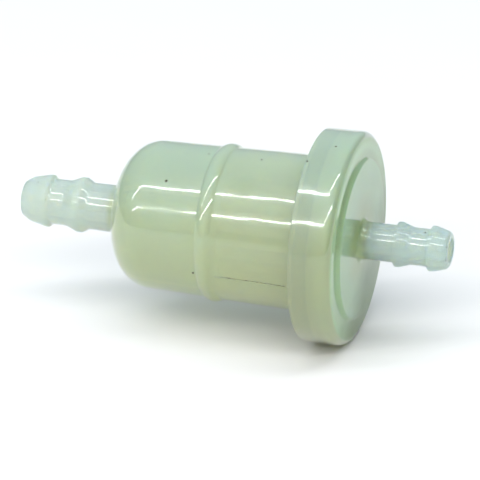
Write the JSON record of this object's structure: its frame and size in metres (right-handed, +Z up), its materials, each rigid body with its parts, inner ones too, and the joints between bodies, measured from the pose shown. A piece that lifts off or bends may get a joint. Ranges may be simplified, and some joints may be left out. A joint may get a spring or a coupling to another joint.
{
  "type": "inline fuel filter",
  "caption": "Inline fuel filter: translucent moulded housing with a dome and bead, welded cap, hose barbs at both ends and a pleated paper element inside.",
  "frame": {"origin": "on the filter's axis, midway between the two barb tips, which is also the centre of the bounding box", "axes": "+X is the direction of fuel flow, from the larger inlet barb to the smaller outlet barb; +Z is up; the outside is round about X"},
  "size_m": [0.0756, 0.0366, 0.0366],
  "materials": {
    "housing_plastic": "translucent natural nylon, slightly waxy gloss",
    "cap_plastic": "translucent natural nylon, glossy moulded face",
    "seal_rubber": "black fuel-resistant rubber",
    "filter_paper": "resin-treated yellow filter paper",
    "seam_metal": "thin folded strip",
    "element_plastic": "plain moulded plastic",
    "potting_adhesive": "cured amber adhesive"
  },
  "bodies": {
    "root": {"inlet_housing": "housing_plastic", "outlet_cap": "cap_plastic", "spigot_seal": "seal_rubber", "pleated_paper": "filter_paper", "side_seam": "seam_metal", "core_tube": "element_plastic", "closed_end_cap": "element_plastic", "open_end_cap": "element_plastic", "closed_end_potting": "potting_adhesive", "open_end_potting": "potting_adhesive"}
  },
  "joints": []
}
